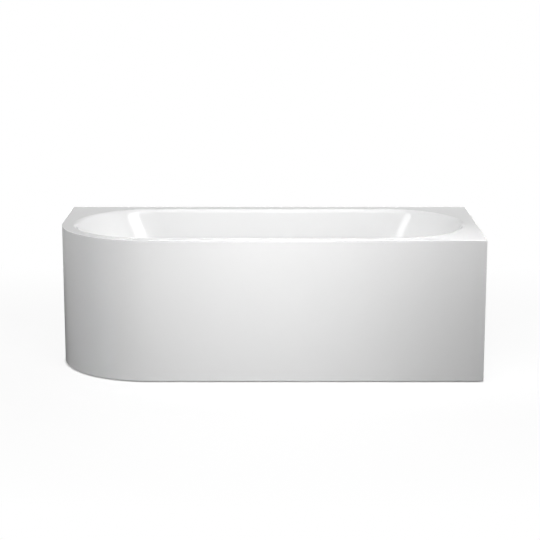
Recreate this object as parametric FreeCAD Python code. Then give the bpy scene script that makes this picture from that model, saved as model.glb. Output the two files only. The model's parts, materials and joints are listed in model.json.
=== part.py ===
import FreeCAD, Part
import math
import os

# Corner bath that stands with its back and its right end against walls.
# An acrylic shell sits on a steel cradle with levelling feet, a one-piece
# apron closes the front and the round end, and the overflow knob lifts the
# waste plug through a cable. Millimetres: X along the bath, Y from the front
# to the wall, Z up from the floor, zero in the middle of the footprint.

# Overall size
bath_length = 1700.0
bath_width = 750.0
bath_height = 573.0
round_corner_radius = 375.0

# Shell and rim
shell_wall = 6.0
rim_edge_radius = 2.0
corner_over_edge = 4.0
rim_lip_wall = 5.0
bond_thickness = 2.0
wall_lip_depth = 30.0
wall_lip_setback = 40.0

# Bowl, leans measured from upright
end_deck_width = 44.0
side_deck_width = 49.0
bowl_floor_height = 173.0
bowl_roll_radius = 18.0
backrest_angle = 28.0
side_angle = 7.0
backrest_foot_radius = 150.0
side_foot_radius = 90.0
roll_section_count = 6
wall_section_count = 6
foot_section_count = 10
loft_degree = 3

# Apron
apron_wall = 5.0
apron_floor_gap = 5.0
apron_flange_width = 30.0
apron_return_width = 30.0
bond_edge_gap = 2.0

# Base board under the bowl floor
board_length = 940.0
board_width = 350.0
board_thickness = 15.0
board_hole_radius = 50.0

# Cradle of square steel tube
rail_size = 30.0
rail_wall = 2.0
rail_spacing = 320.0
left_cross_setback = 210.0
middle_cross_offset = 220.0
right_cross_setback = 150.0
cross_end_gap = 35.0
cap_plate = 3.0
cap_plug_length = 12.0
cap_plug_fit = 0.2

# Posts that carry the rim at the square corners
post_size = 25.0
post_wall = 2.0
post_end_gap = 2.5
post_pad_thickness = 3.0

# Wood screws from the long rails into the board
board_screw_radius = 2.5
board_screw_head_radius = 5.0
board_screw_head_height = 3.0
board_screw_bite = 10.0
board_screw_count = 4
board_screw_span = 560.0
screw_fit = 0.2

# Levelling feet
hex_side_count = 6
stud_radius = 6.0
stud_thread_fit = 0.05
stud_end_height = 4.0
stud_rail_reach = 16.0
stud_collar_across = 19.0
stud_collar_height = 6.0
foot_setback = 45.0
pad_radius = 28.0
pad_top_radius = 17.0
pad_rim_height = 5.0
pad_height = 15.0
pad_bore_fit = 0.1
weld_nut_across = 22.0
weld_nut_height = 9.0
lock_nut_across = 19.0
lock_nut_height = 7.0

# Brackets from the posts to the wall and to the apron
bracket_wall = 3.0
bracket_height = 60.0
bracket_face_width = 40.0
bracket_lap = 25.0
bracket_drop = 75.0
apron_bracket_rise = 120.0
fixing_hole_radius = 4.0
fixing_hole_spacing = 40.0
fixing_hole_count = 2
bracket_bolt_radius = 3.0
bracket_bolt_spacing = 30.0
bracket_bolt_head_height = 4.0
bracket_bolt_head_across = 10.0
bracket_bolt_tail = 4.0

# Stays from the cradle to the apron
stay_width = 30.0
stay_wall = 3.0
stay_lap = 45.0
stay_leg = 45.0
stay_screw_radius = 2.5
stay_screw_head_radius = 5.0
stay_screw_head_height = 3.0
stay_screw_length = 14.0
stay_screw_setback = 8.0
stay_screw_pitch = 15.0
stay_screw_count = 2

# Waste fitting in the bowl floor
waste_offset = 80.0
waste_hole_radius = 27.0
waste_sleeve_radius = 24.0
waste_sleeve_bore = 21.0
waste_sleeve_length = 31.0
waste_flange_radius = 35.0
waste_flange_height = 2.5
waste_top_gasket_height = 1.0
waste_low_gasket_height = 3.0
waste_collar_radius = 44.0
waste_collar_height = 4.0
waste_body_radius = 38.0
waste_body_wall = 3.0
waste_body_thread = 14.0
waste_thread_fit = 0.1
spider_height = 6.0
spider_hub_radius = 7.0
spider_rib_width = 4.0
spider_rib_count = 3
spider_drop = 22.0

# Pop-up plug
plug_radius = 31.5
plug_height = 6.0
plug_edge_radius = 2.5
plug_seat_gap = 1.5
plug_boss_radius = 16.4
plug_boss_length = 8.0
plug_washer_radius = 19.5
plug_washer_height = 2.0
plug_seal_major = 18.6
plug_seal_minor = 2.1
stem_radius = 3.5
stem_fit = 0.05
stem_rocker_gap = 0.3

# Rocker that lifts the plug stem
rocker_arm = 25.0
rocker_tail = 7.0
rocker_tip = 2.5
rocker_width = 8.0
rocker_height = 5.0
rocker_rise = 14.5
rocker_pin_radius = 2.0
rocker_pin_fit = 0.05
rocker_lug_width = 6.0
rocker_lug_length = 10.0
rocker_lug_rise = 6.0
rocker_side_gap = 0.5

# Overflow behind the front wall of the bowl
overflow_drop = 80.0
overflow_hole_radius = 27.0
overflow_gasket_height = 3.0
overflow_flange_radius = 38.0
overflow_flange_height = 4.0
overflow_cup_radius = 29.0
overflow_cup_wall = 3.0
overflow_cup_depth = 42.0
overflow_spout_drop = 56.0
face_radius = 34.0
face_height = 5.0
face_port_radius = 3.6
face_port_circle = 17.0
face_port_count = 5
face_port_step_angle = 32.0
face_screw_radius = 2.0
face_screw_head_radius = 4.0
face_screw_head_height = 2.0
face_screw_length = 18.0
face_screw_circle = 20.0
face_boss_radius = 4.5
knob_gap = 4.0
knob_radius = 36.0
knob_height = 9.0
knob_edge_radius = 3.0
knob_grip_width = 12.0
knob_grip_height = 9.0
knob_grip_share = 0.78
knob_socket_depth = 5.0
spindle_radius = 4.0
spindle_fit = 0.05
drum_radius = 12.0
drum_height = 8.0
drum_back_gap = 3.0

# Overflow pipe and cable to the waste
pipe_radius = 16.0
pipe_wall = 2.0
pipe_fit = 0.1
pipe_engagement = 18.0
pipe_bend_radius = 60.0
socket_wall = 3.0
pipe_rail_gap = 1.5
inlet_length = 14.0
inlet_floor_gap = 1.0
cable_radius = 2.5
cable_offset = 32.0
cable_rise = 2.0
cable_gland_radius = 5.0
cable_gland_fit = 0.1
cable_gland_length = 12.0
cable_gland_gap = 2.0
cable_engagement = 8.0
clip_wall = 2.0
clip_height = 8.0
clip_count = 2
clip_fit = 0.05

# Slip nuts on the pipe joints
slip_nut_wall = 4.0
slip_nut_grip = 13.0
slip_nut_lip = 3.0
slip_nut_fit = 0.2
slip_nut_side_count = 10
slip_seal_height = 2.0

# Trap and outlet
drain_radius = 20.0
drain_wall = 2.5
trap_socket_depth = 18.0
trap_socket_base = 3.0
trap_bend_radius = 30.0
trap_floor_gap = 4.0
trap_bottom_run = 8.0
outlet_height = 100.0
trap_outlet_run = 42.0
outlet_wall_gap = 20.0
outlet_spigot_length = 60.0
outlet_bead_height = 2.5
outlet_bead_width = 4.0

V = FreeCAD.Vector

half_length = bath_length / 2
half_width = bath_width / 2
square_corner_radius = rim_edge_radius + corner_over_edge
deck_under = bath_height - shell_wall
apron_top = deck_under - bond_thickness
corner_x = round_corner_radius - half_length
corner_y = round_corner_radius - half_width

bowl_half_length = half_length - end_deck_width
bowl_half_width = half_width - side_deck_width
backrest_lean = math.radians(backrest_angle)
side_lean = math.radians(side_angle)

bowl_depth = bath_height - bowl_floor_height
shell_under = bowl_floor_height - shell_wall
board_under = shell_under - board_thickness
long_under = board_under - rail_size
cross_under = long_under - rail_size

left_cross_x = left_cross_setback - half_length
middle_cross_x = -middle_cross_offset
right_cross_x = half_length - right_cross_setback
cross_end_y = half_width - cross_end_gap
left_reach = round_corner_radius - apron_wall - cross_end_gap
left_front_dx = corner_x - left_cross_x + rail_size / 2
left_front_y = corner_y - math.sqrt(left_reach**2 - left_front_dx**2)
long_left_x = left_cross_x - rail_size / 2
long_right_x = right_cross_x + rail_size / 2
post_y = cross_end_y - post_end_gap - post_size / 2
post_top = deck_under - post_pad_thickness

posts = {
    "left_back": (left_cross_x, post_y),
    "right_back": (right_cross_x, post_y),
    "right_front": (right_cross_x, -post_y),
}
feet = {
    "left_front": (left_cross_x, left_front_y + foot_setback),
    "left_back": (left_cross_x, cross_end_y - foot_setback),
    "middle_front": (middle_cross_x, foot_setback - cross_end_y),
    "middle_back": (middle_cross_x, cross_end_y - foot_setback),
    "right_front": (right_cross_x, foot_setback - cross_end_y),
    "right_back": (right_cross_x, cross_end_y - foot_setback),
}

waste_y = -waste_offset
waste_collar_under = shell_under - waste_low_gasket_height - waste_collar_height
inlet_z = long_under - pipe_radius - pipe_rail_gap
inlet_radius = pipe_radius + pipe_fit + socket_wall
waste_body_under = inlet_z - inlet_radius - inlet_floor_gap
waste_cavity_under = waste_body_under + waste_body_wall
waste_cavity_radius = waste_body_radius - waste_body_wall
inlet_end_y = waste_y - waste_body_radius - inlet_length
flange_under = bowl_floor_height + waste_top_gasket_height
flange_top = flange_under + waste_flange_height
plug_under = flange_top + plug_seat_gap
rocker_z = waste_cavity_under + rocker_rise
stem_end = rocker_z + rocker_height / 2 + stem_rocker_gap

overflow_z = bath_height - overflow_drop
wall_axis = V(0, math.cos(side_lean), math.sin(side_lean))


def box(x0, x1, y0, y1, z0, z1):
    return Part.makeBox(x1 - x0, y1 - y0, z1 - z0, V(x0, y0, z0))


def rod(radius, start, end):
    axis = end - start
    return Part.makeCylinder(radius, axis.Length, start, axis)


def ring(outer, inner, start, end):
    return rod(outer, start, end).cut(rod(inner, start, end))


def upright(radius, x, y, z0, z1):
    return rod(radius, V(x, y, z0), V(x, y, z1))


def joined(first, *others):
    return first.fuse(list(others)).removeSplitter()


def prism(side_count, across_flats, start, end):
    axis = end - start
    radius = across_flats / 2 / math.cos(math.pi / side_count)
    turns = [2 * math.pi * k / side_count for k in range(side_count + 1)]
    points = [V(radius * math.cos(a), radius * math.sin(a), 0) for a in turns]
    solid = Part.Face(Part.makePolygon(points)).extrude(V(0, 0, axis.Length))
    solid.Placement = FreeCAD.Placement(start, FreeCAD.Rotation(V(0, 0, 1), axis))
    return solid


def hexagon(across_flats, start, end):
    return prism(hex_side_count, across_flats, start, end)


def level_edges(shape, height):
    # Edges that lie in the level plane at this height.
    slack = shell_wall / 100
    edges = [edge for edge in shape.Edges if abs(edge.BoundBox.ZMin - height) < slack]
    return [edge for edge in edges if abs(edge.BoundBox.ZMax - height) < slack]


def outline(inset, z):
    # Footprint with one round and three square corners, drawn in by the inset.
    right = half_length - inset
    back = half_width - inset
    square = max(square_corner_radius - inset, 0)
    corners = [
        (V(-right, -back, z), round_corner_radius - inset, V(0, -1, 0), V(1, 0, 0)),
        (V(right, -back, z), square, V(1, 0, 0), V(0, 1, 0)),
        (V(right, back, z), square, V(0, 1, 0), V(-1, 0, 0)),
        (V(-right, back, z), square, V(-1, 0, 0), V(0, -1, 0)),
    ]
    edges = []
    ends = [(p - into * r, p + out * r) for p, r, into, out in corners]
    for k, (corner, radius, into, out) in enumerate(corners):
        start, end = ends[k]
        if radius > 0:
            middle = corner + (out - into) * radius * (1 - math.sqrt(0.5))
            edges.append(Part.Arc(start, middle, end).toShape())
        edges.append(Part.makeLine(end, ends[(k + 1) % len(ends)][0]))
    return Part.Wire(edges)


def slab(inset, z0, z1):
    return Part.Face(outline(inset, z0)).extrude(V(0, 0, z1 - z0))


def wall_inset(depth, lean, foot_radius, behind):
    # How far the bowl wall has come in at a depth below the deck, on the wet
    # face or at a distance behind it: rim roll, straight wall, foot curve.
    roll = bowl_roll_radius - behind
    roll_end = bowl_roll_radius - roll * math.sin(lean)
    foot_start = bowl_depth - foot_radius + (foot_radius + behind) * math.sin(lean)
    straight = bowl_depth - (foot_radius + bowl_roll_radius) * (1 - math.sin(lean))
    foot_centre = (bowl_roll_radius + foot_radius) * math.cos(lean) + straight * math.tan(lean)
    if depth < roll_end:
        return math.sqrt(max(0, roll**2 - (bowl_roll_radius - depth) ** 2))
    if depth < foot_start:
        return roll * math.cos(lean) + (depth - roll_end) * math.tan(lean)
    rise = depth - bowl_depth + foot_radius
    return foot_centre - math.sqrt(max(0, (foot_radius + behind) ** 2 - rise**2))


def bowl_section(depth, behind):
    half_x = bowl_half_length - wall_inset(depth, backrest_lean, backrest_foot_radius, behind)
    half_y = bowl_half_width - wall_inset(depth, side_lean, side_foot_radius, behind)
    z = bath_height - depth
    return stadium(half_x, half_y, z)


def stadium(half_x, half_y, z):
    centre = half_x - half_y
    slant = half_y * math.sqrt(0.5)
    edges = [Part.makeLine(V(-centre, -half_y, z), V(centre, -half_y, z))]
    for side in (1, -1):
        first = V(side * centre, -side * half_y, z)
        tip = V(side * half_x, 0, z)
        last = V(side * centre, side * half_y, z)
        edges.append(Part.Arc(first, V(side * (centre + slant), -side * slant, z), tip).toShape())
        edges.append(Part.Arc(tip, V(side * (centre + slant), side * slant, z), last).toShape())
        if side > 0:
            edges.append(Part.makeLine(last, V(-centre, half_y, z)))
    return Part.Wire(edges)


def bowl_depths(behind):
    # Depths of the loft sections, closer together in the roll and in the foot.
    roll_end = bowl_roll_radius - (bowl_roll_radius - behind) * math.sin(side_lean)
    leans = ((backrest_lean, backrest_foot_radius), (side_lean, side_foot_radius))
    foot_start = min(bowl_depth - r + (r + behind) * math.sin(lean) for lean, r in leans)
    quarter = math.pi / 2
    depths = []
    for k in range(roll_section_count):
        share = 1 - math.cos(quarter * k / roll_section_count)
        depths.append(behind + (roll_end - behind) * share)
    for k in range(wall_section_count):
        depths.append(roll_end + (foot_start - roll_end) * k / wall_section_count)
    for k in range(foot_section_count + 1):
        share = math.sin(quarter * k / foot_section_count)
        depths.append(foot_start + (bowl_depth + behind - foot_start) * share)
    return depths


def bowl_wall():
    # The wet and the dry face, closed by two floors and a band in the deck.
    faces = []
    for behind in (0, shell_wall):
        sections = [bowl_section(depth, behind) for depth in bowl_depths(behind)]
        faces += Part.makeLoft(sections, False, False, False, loft_degree).Faces
        faces.append(Part.Face(sections[-1]))
    faces += bowl_section(0, 0).extrude(V(0, 0, -shell_wall)).Faces
    skin = Part.Shell(faces)
    skin.sewShape()
    bowl = Part.Solid(skin)
    if bowl.Volume < 0:
        bowl.reverse()
    return bowl


def rim():
    plate = slab(0, apron_top, bath_height)
    plate = plate.makeFillet(rim_edge_radius, level_edges(plate, bath_height))
    plate = plate.cut(slab(rim_lip_wall, apron_top, deck_under))
    plate = plate.cut(Part.Face(bowl_section(0, 0)).extrude(V(0, 0, -shell_wall)))
    lip_under = bath_height - wall_lip_depth
    skirt = slab(0, lip_under, apron_top).cut(slab(rim_lip_wall, lip_under, apron_top))
    lip_left = wall_lip_setback - half_length
    lip_front = wall_lip_setback - half_width
    back = box(lip_left, half_length, half_width - rim_lip_wall, half_width, lip_under, apron_top)
    right = box(half_length - rim_lip_wall, half_length, lip_front, half_width, lip_under, apron_top)
    return plate.fuse([skirt.common(back), skirt.common(right)])


def overflow_point(along):
    # A point on the overflow axis, counted from the wet face into the bowl.
    wet_y = wall_inset(overflow_drop, side_lean, side_foot_radius, 0) - bowl_half_width
    return V(0, wet_y, overflow_z) + wall_axis * along


def overflow_place(shape):
    # From a drawing with Z into the bowl and Y down the wall to its place.
    shape.Placement = FreeCAD.Placement(overflow_point(0), FreeCAD.Rotation(V(0, 0, 1), wall_axis))
    return shape


def make_tub_shell():
    tub = rim().fuse(bowl_wall()).removeSplitter()
    hole_top = bowl_floor_height + shell_wall
    tub = tub.cut(upright(waste_hole_radius, 0, waste_y, shell_under - shell_wall, hole_top))
    back = overflow_point(-2 * shell_wall)
    front = overflow_point(shell_wall)
    tub = tub.cut(rod(overflow_hole_radius, back, front))
    seats = [rod(face_radius, overflow_point(0), front)]
    seats.append(rod(overflow_flange_radius, back, overflow_point(-shell_wall)))
    return tub.cut(seats)


def open_to_walls(shape, depth, z0, z1):
    # Takes away the back and the right side and keeps the two short returns.
    left = apron_return_width - half_length
    front = apron_return_width - half_width
    back = box(left, half_length, half_width - depth, half_width, z0, z1)
    right = box(half_length - depth, half_length, front, half_width, z0, z1)
    return shape.cut(back).cut(right)


def clear_of_bowl(shape, z0, z1):
    # Keeps what lies under the deck off the bowl where the deck is narrow.
    half_x = bowl_half_length + bond_edge_gap
    half_y = bowl_half_width + bond_edge_gap
    return shape.cut(Part.Face(stadium(half_x, half_y, z0)).extrude(V(0, 0, z1 - z0)))


def make_apron():
    block = slab(0, apron_floor_gap, apron_top)
    block = block.makeFillet(rim_edge_radius, level_edges(block, apron_floor_gap))
    block = block.cut(slab(apron_wall, apron_floor_gap + apron_wall, apron_top - apron_wall))
    block = block.cut(slab(apron_flange_width, apron_floor_gap, apron_top))
    block = clear_of_bowl(block, apron_top - apron_wall, apron_top)
    return open_to_walls(block, apron_flange_width, apron_floor_gap, apron_top)


def make_bond_strip():
    outer = rim_lip_wall + bond_edge_gap
    inner = apron_flange_width - bond_edge_gap
    strip = slab(outer, apron_top, deck_under).cut(slab(inner, apron_top, deck_under))
    strip = clear_of_bowl(strip, apron_top, deck_under)
    return open_to_walls(strip, apron_flange_width, apron_top, deck_under)


def board_screw_spots():
    step = board_screw_span / (board_screw_count - 1)
    spots = []
    for side in (-1, 1):
        for k in range(board_screw_count):
            spots.append((k * step - board_screw_span / 2, side * rail_spacing / 2))
    return spots


def make_base_board():
    edge = stadium(board_length / 2, board_width / 2, board_under)
    board = Part.Face(edge).extrude(V(0, 0, board_thickness))
    board = board.cut(upright(board_hole_radius, 0, waste_y, board_under, shell_under))
    radius = board_screw_radius + screw_fit
    top = board_under + board_screw_bite
    return board.cut([upright(radius, x, y, board_under, top) for x, y in board_screw_spots()])


def make_board_screws():
    screws = []
    for x, y in board_screw_spots():
        head = upright(board_screw_head_radius, x, y, long_under - board_screw_head_height, long_under)
        shank = upright(board_screw_radius, x, y, long_under, board_under + board_screw_bite)
        screws.append(joined(head, shank))
    return Part.makeCompound(screws)


def make_long_rail(side):
    y = side * rail_spacing / 2
    half = rail_size / 2
    hollow = half - rail_wall
    low = long_under + rail_wall
    high = board_under - rail_wall
    tube = box(long_left_x, long_right_x, y - half, y + half, long_under, board_under)
    tube = tube.cut(box(long_left_x, long_right_x, y - hollow, y + hollow, low, high))
    holes = []
    for x, spot_y in board_screw_spots():
        if spot_y == y:
            holes.append(upright(board_screw_radius + screw_fit, x, y, long_under, board_under))
    return tube.cut(holes + stay_holes(left_stay_spots()))


def cross_front(x):
    return left_front_y if x == left_cross_x else -cross_end_y


def make_cross_rail(x):
    front = cross_front(x)
    half = rail_size / 2
    hollow = half - rail_wall
    low = cross_under + rail_wall
    high = long_under - rail_wall
    tube = box(x - half, x + half, front, cross_end_y, cross_under, long_under)
    tube = tube.cut(box(x - hollow, x + hollow, front, cross_end_y, low, high))
    holes = []
    for foot_x, foot_y in feet.values():
        if foot_x == x:
            holes.append(upright(stud_radius + screw_fit, foot_x, foot_y, cross_under, low))
    return tube.cut(holes + stay_holes(front_stay_spots()))


def end_cap(mouth, outward):
    # Plate over the end of a tube with a plug inside its bore.
    half = rail_size / 2
    plug = half - rail_wall - cap_plug_fit
    plate = Part.makeBox(rail_size, rail_size, cap_plate, V(-half, -half, 0))
    stem = Part.makeBox(2 * plug, 2 * plug, cap_plug_length, V(-plug, -plug, -cap_plug_length))
    cap = joined(plate, stem)
    cap.Placement = FreeCAD.Placement(mouth, FreeCAD.Rotation(V(0, 0, 1), outward))
    return cap


def make_end_caps():
    caps = []
    for x in (left_cross_x, middle_cross_x, right_cross_x):
        z = cross_under + rail_size / 2
        caps.append(end_cap(V(x, cross_front(x), z), V(0, -1, 0)))
        caps.append(end_cap(V(x, cross_end_y, z), V(0, 1, 0)))
    for side in (-1, 1):
        y = side * rail_spacing / 2
        z = long_under + rail_size / 2
        caps.append(end_cap(V(long_left_x, y, z), V(-1, 0, 0)))
        caps.append(end_cap(V(long_right_x, y, z), V(1, 0, 0)))
    return Part.makeCompound(caps)


def make_post(name):
    x, y = posts[name]
    half = post_size / 2
    hollow = half - post_wall
    tube = box(x - half, x + half, y - half, y + half, long_under, post_top)
    tube = tube.cut(box(x - hollow, x + hollow, y - hollow, y + hollow, long_under, post_top))
    for spot in bracket_bolt_heights(name):
        start = V(x - post_size, y, spot)
        tube = tube.cut(rod(bracket_bolt_radius + screw_fit, start, start + V(2 * post_size, 0, 0)))
    return tube


def make_post_pads():
    half = post_size / 2
    pads = [box(x - half, x + half, y - half, y + half, post_top, deck_under) for x, y in posts.values()]
    return Part.makeCompound(pads)


def make_foot_stud(name):
    x, y = feet[name]
    stud = upright(stud_radius, x, y, stud_end_height, cross_under + stud_rail_reach)
    collar = hexagon(stud_collar_across, V(x, y, pad_height), V(x, y, pad_height + stud_collar_height))
    return joined(stud, collar)


def make_foot_pad(name):
    x, y = feet[name]
    disc = upright(pad_radius, x, y, 0, pad_rim_height)
    slope = pad_height - pad_rim_height
    cone = Part.makeCone(pad_radius, pad_top_radius, slope, V(x, y, pad_rim_height))
    pad = joined(disc, cone)
    return pad.cut(upright(stud_radius + pad_bore_fit, x, y, stud_end_height, pad_height))


def foot_nuts(across, top, height):
    nuts = []
    for x, y in feet.values():
        nut = hexagon(across, V(x, y, top - height), V(x, y, top))
        nuts.append(nut.cut(upright(stud_radius + stud_thread_fit, x, y, top - height, top)))
    return Part.makeCompound(nuts)


def bracket_middle(name):
    if name == "right_front":
        return long_under + apron_bracket_rise
    return deck_under - bracket_drop


def bracket_bolt_heights(name):
    middle = bracket_middle(name)
    return (middle - bracket_bolt_spacing / 2, middle + bracket_bolt_spacing / 2)


def make_post_bracket(name, face_y, hole_count):
    # Angle plate on the right face of a post that reaches out to a face.
    x, y = posts[name]
    side_x = x + post_size / 2
    middle = bracket_middle(name)
    low = middle - bracket_height / 2
    high = middle + bracket_height / 2
    out = 1 if face_y > y else -1
    lap_y = y + out * (post_size / 2 - bracket_lap)
    turn_y = face_y - out * bracket_wall
    web = box(side_x, side_x + bracket_wall, min(lap_y, face_y), max(lap_y, face_y), low, high)
    face = box(side_x, side_x + bracket_face_width, min(turn_y, face_y), max(turn_y, face_y), low, high)
    bracket = joined(web, face)
    hole_x = side_x + (bracket_wall + bracket_face_width) / 2
    reach = V(0, 2 * bracket_wall, 0)
    for k in range(hole_count):
        z = middle + fixing_hole_spacing * (k - (hole_count - 1) / 2)
        middle_hole = V(hole_x, face_y, z)
        bracket = bracket.cut(rod(fixing_hole_radius, middle_hole - reach, middle_hole + reach))
    for z in bracket_bolt_heights(name):
        start = V(side_x, y, z)
        bracket = bracket.cut(rod(bracket_bolt_radius + screw_fit, start, start + V(bracket_wall, 0, 0)))
    return bracket


def make_bracket_bolts():
    bolts = []
    for name, (x, y) in posts.items():
        tail = x - post_size / 2 - bracket_bolt_tail
        face = x + post_size / 2 + bracket_wall
        end = face + bracket_bolt_head_height
        for z in bracket_bolt_heights(name):
            head = hexagon(bracket_bolt_head_across, V(face, y, z), V(end, y, z))
            shank = rod(bracket_bolt_radius, V(tail, y, z), V(face, y, z))
            bolts.append(joined(head, shank))
    return Part.makeCompound(bolts)


def make_bracket_nuts():
    nuts = []
    for name, (x, y) in posts.items():
        left = x - post_size / 2
        for z in bracket_bolt_heights(name):
            start = V(left - bracket_bolt_head_height, y, z)
            end = V(left, y, z)
            nut = hexagon(bracket_bolt_head_across, start, end)
            nuts.append(nut.cut(rod(bracket_bolt_radius + screw_fit, start, end)))
    return Part.makeCompound(nuts)


def stay_screw_reaches():
    # How far in from the end of a rail the screws sit, clear of its cap.
    first = cap_plug_length + stay_screw_setback
    return [first + k * stay_screw_pitch for k in range(stay_screw_count)]


def front_stay_spots():
    return [V(middle_cross_x, reach - cross_end_y, long_under) for reach in stay_screw_reaches()]


def left_stay_spots():
    return [V(long_left_x + reach, rail_spacing / 2, board_under) for reach in stay_screw_reaches()]


def stay_holes(spots):
    # Holes through the strip of a stay and the top wall of the rail below it.
    radius = stay_screw_radius + screw_fit
    return [rod(radius, spot - V(0, 0, rail_wall), spot + V(0, 0, stay_wall)) for spot in spots]


def make_front_stay():
    # Angle strip on the middle cross rail, glued up the back of the apron.
    half = stay_width / 2
    x = middle_cross_x
    face = apron_wall - half_width
    strip = box(x - half, x + half, face, stay_lap - cross_end_y, long_under, long_under + stay_wall)
    leg = box(x - half, x + half, face, face + stay_wall, long_under, long_under + stay_leg)
    return joined(strip, leg).cut(stay_holes(front_stay_spots()))


def make_left_stay():
    # Angle strip on the back long rail, glued up the inside of the round end.
    half = stay_width / 2
    y = rail_spacing / 2
    face = apron_wall - half_length
    strip = box(face, long_left_x + stay_lap, y - half, y + half, board_under, board_under + stay_wall)
    leg = box(face, face + stay_wall, y - half, y + half, board_under, board_under + stay_leg)
    return joined(strip, leg).cut(stay_holes(left_stay_spots()))


def make_stay_screws():
    screws = []
    for spot in front_stay_spots() + left_stay_spots():
        top = spot + V(0, 0, stay_wall)
        head = rod(stay_screw_head_radius, top, top + V(0, 0, stay_screw_head_height))
        shank = rod(stay_screw_radius, top - V(0, 0, stay_screw_length), top)
        screws.append(joined(head, shank))
    return Part.makeCompound(screws)


def make_waste_flange():
    sleeve_under = flange_under - waste_sleeve_length
    plate = upright(waste_flange_radius, 0, waste_y, flange_under, flange_top)
    sleeve = upright(waste_sleeve_radius, 0, waste_y, sleeve_under, flange_top)
    flange = joined(plate, sleeve).cut(upright(waste_sleeve_bore, 0, waste_y, sleeve_under, flange_top))
    hub_top = flange_top - spider_drop
    hub_under = hub_top - spider_height
    hub = upright(spider_hub_radius, 0, waste_y, hub_under, hub_top)
    middle_radius = (waste_sleeve_bore + waste_sleeve_radius) / 2
    ribs = []
    for k in range(spider_rib_count):
        half = spider_rib_width / 2
        rib = box(0, middle_radius, -half, half, hub_under, hub_top)
        rib.rotate(V(0, 0, 0), V(0, 0, 1), 360 * k / spider_rib_count)
        rib.translate(V(0, waste_y, 0))
        ribs.append(rib)
    flange = joined(flange, hub, *ribs)
    return flange.cut(upright(stem_radius + stem_fit, 0, waste_y, hub_under, hub_top))


def make_waste_top_gasket():
    low = V(0, waste_y, bowl_floor_height)
    return ring(waste_flange_radius, waste_hole_radius, low, V(0, waste_y, flange_under))


def make_waste_low_gasket():
    low = V(0, waste_y, shell_under - waste_low_gasket_height)
    return ring(waste_collar_radius, waste_hole_radius, low, V(0, waste_y, shell_under))


def make_waste_body():
    collar_top = waste_collar_under + waste_collar_height
    cavity_top = collar_top - waste_body_thread
    neck_under = trap_socket_top() - trap_socket_depth
    body = joined(
        upright(waste_collar_radius, 0, waste_y, waste_collar_under, collar_top),
        upright(waste_body_radius, 0, waste_y, waste_body_under, collar_top),
        upright(drain_radius, 0, waste_y, neck_under, waste_body_under),
    )
    body = body.cut(upright(waste_cavity_radius, 0, waste_y, waste_cavity_under, cavity_top))
    inlet_end = V(0, inlet_end_y, inlet_z)
    inlet = rod(inlet_radius, V(0, waste_y - waste_cavity_radius, inlet_z), inlet_end)
    gland_z = inlet_z + cable_rise
    gland = rod(cable_gland_radius, V(cable_offset, waste_y, gland_z), V(cable_offset, inlet_end_y, gland_z))
    gland = gland.cut(upright(waste_cavity_radius, 0, waste_y, waste_cavity_under, cavity_top))
    body = joined(body, inlet, gland, *rocker_lugs())
    body = body.cut(upright(waste_sleeve_radius + waste_thread_fit, 0, waste_y, cavity_top, collar_top))
    body = body.cut(upright(drain_radius - drain_wall, 0, waste_y, neck_under, waste_cavity_under))
    stop = V(0, inlet_end_y + pipe_engagement, inlet_z)
    body = body.cut(rod(pipe_radius + pipe_fit, stop, inlet_end))
    body = body.cut(rod(pipe_radius - pipe_wall, V(0, waste_y - drain_radius, inlet_z), inlet_end))
    cable_start = V(cable_offset, inlet_end_y + cable_engagement, gland_z)
    cable_end = V(cable_offset, inlet_end_y, gland_z)
    body = body.cut(rod(cable_radius + cable_gland_fit, cable_start, cable_end))
    return body.cut(rocker_pin(rocker_pin_radius))


def rocker_lugs():
    lugs = []
    gap = rocker_width / 2 + rocker_side_gap
    top = rocker_z + rocker_lug_rise
    left = rocker_arm - rocker_lug_length / 2
    right = rocker_arm + rocker_lug_length / 2
    for near in (waste_y - gap - rocker_lug_width, waste_y + gap):
        lugs.append(box(left, right, near, near + rocker_lug_width, waste_cavity_under, top))
    return lugs


def rocker_pin(radius):
    reach = rocker_width / 2 + rocker_side_gap + rocker_lug_width
    return rod(radius, V(rocker_arm, waste_y - reach, rocker_z), V(rocker_arm, waste_y + reach, rocker_z))


def make_lift_rocker():
    half = rocker_width / 2
    low = rocker_z - rocker_height / 2
    high = rocker_z + rocker_height / 2
    lever = box(-rocker_tip, rocker_arm, waste_y - half, waste_y + half, low, high)
    eye = rod(rocker_tail, V(rocker_arm, waste_y - half, rocker_z), V(rocker_arm, waste_y + half, rocker_z))
    return joined(lever, eye).cut(rocker_pin(rocker_pin_radius + rocker_pin_fit))


def make_plug_cap():
    cap = upright(plug_radius, 0, waste_y, plug_under, plug_under + plug_height)
    cap = cap.makeFillet(plug_edge_radius, level_edges(cap, plug_under + plug_height))
    boss_under = plug_under - plug_boss_length
    boss = upright(plug_boss_radius, 0, waste_y, boss_under, plug_under)
    washer = upright(plug_washer_radius, 0, waste_y, boss_under - plug_washer_height, boss_under)
    return joined(cap, boss, washer)


def make_plug_seal():
    z = plug_under - plug_boss_length + plug_seal_minor
    return Part.makeTorus(plug_seal_major, plug_seal_minor, V(0, waste_y, z))


def make_plug_stem():
    top = plug_under - plug_boss_length - plug_washer_height
    return upright(stem_radius, 0, waste_y, stem_end, top)


def cup_back():
    return -shell_wall - overflow_gasket_height - overflow_cup_depth


def pipe_top():
    # Where the spout's upright axis runs, at the middle of the overflow cup.
    return overflow_point((cup_back() - shell_wall - overflow_gasket_height) / 2)


def spout_end():
    return pipe_top() - V(0, 0, overflow_spout_drop)


def cable_gland_end():
    return spout_end() + V(cable_offset, 0, slip_nut_grip + cable_gland_gap)


def make_overflow_gasket():
    near = -shell_wall
    far = near - overflow_gasket_height
    return overflow_place(ring(overflow_flange_radius, overflow_hole_radius, V(0, 0, far), V(0, 0, near)))


def face_screw_spots():
    return ((-face_screw_circle, 0), (face_screw_circle, 0))


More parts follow.
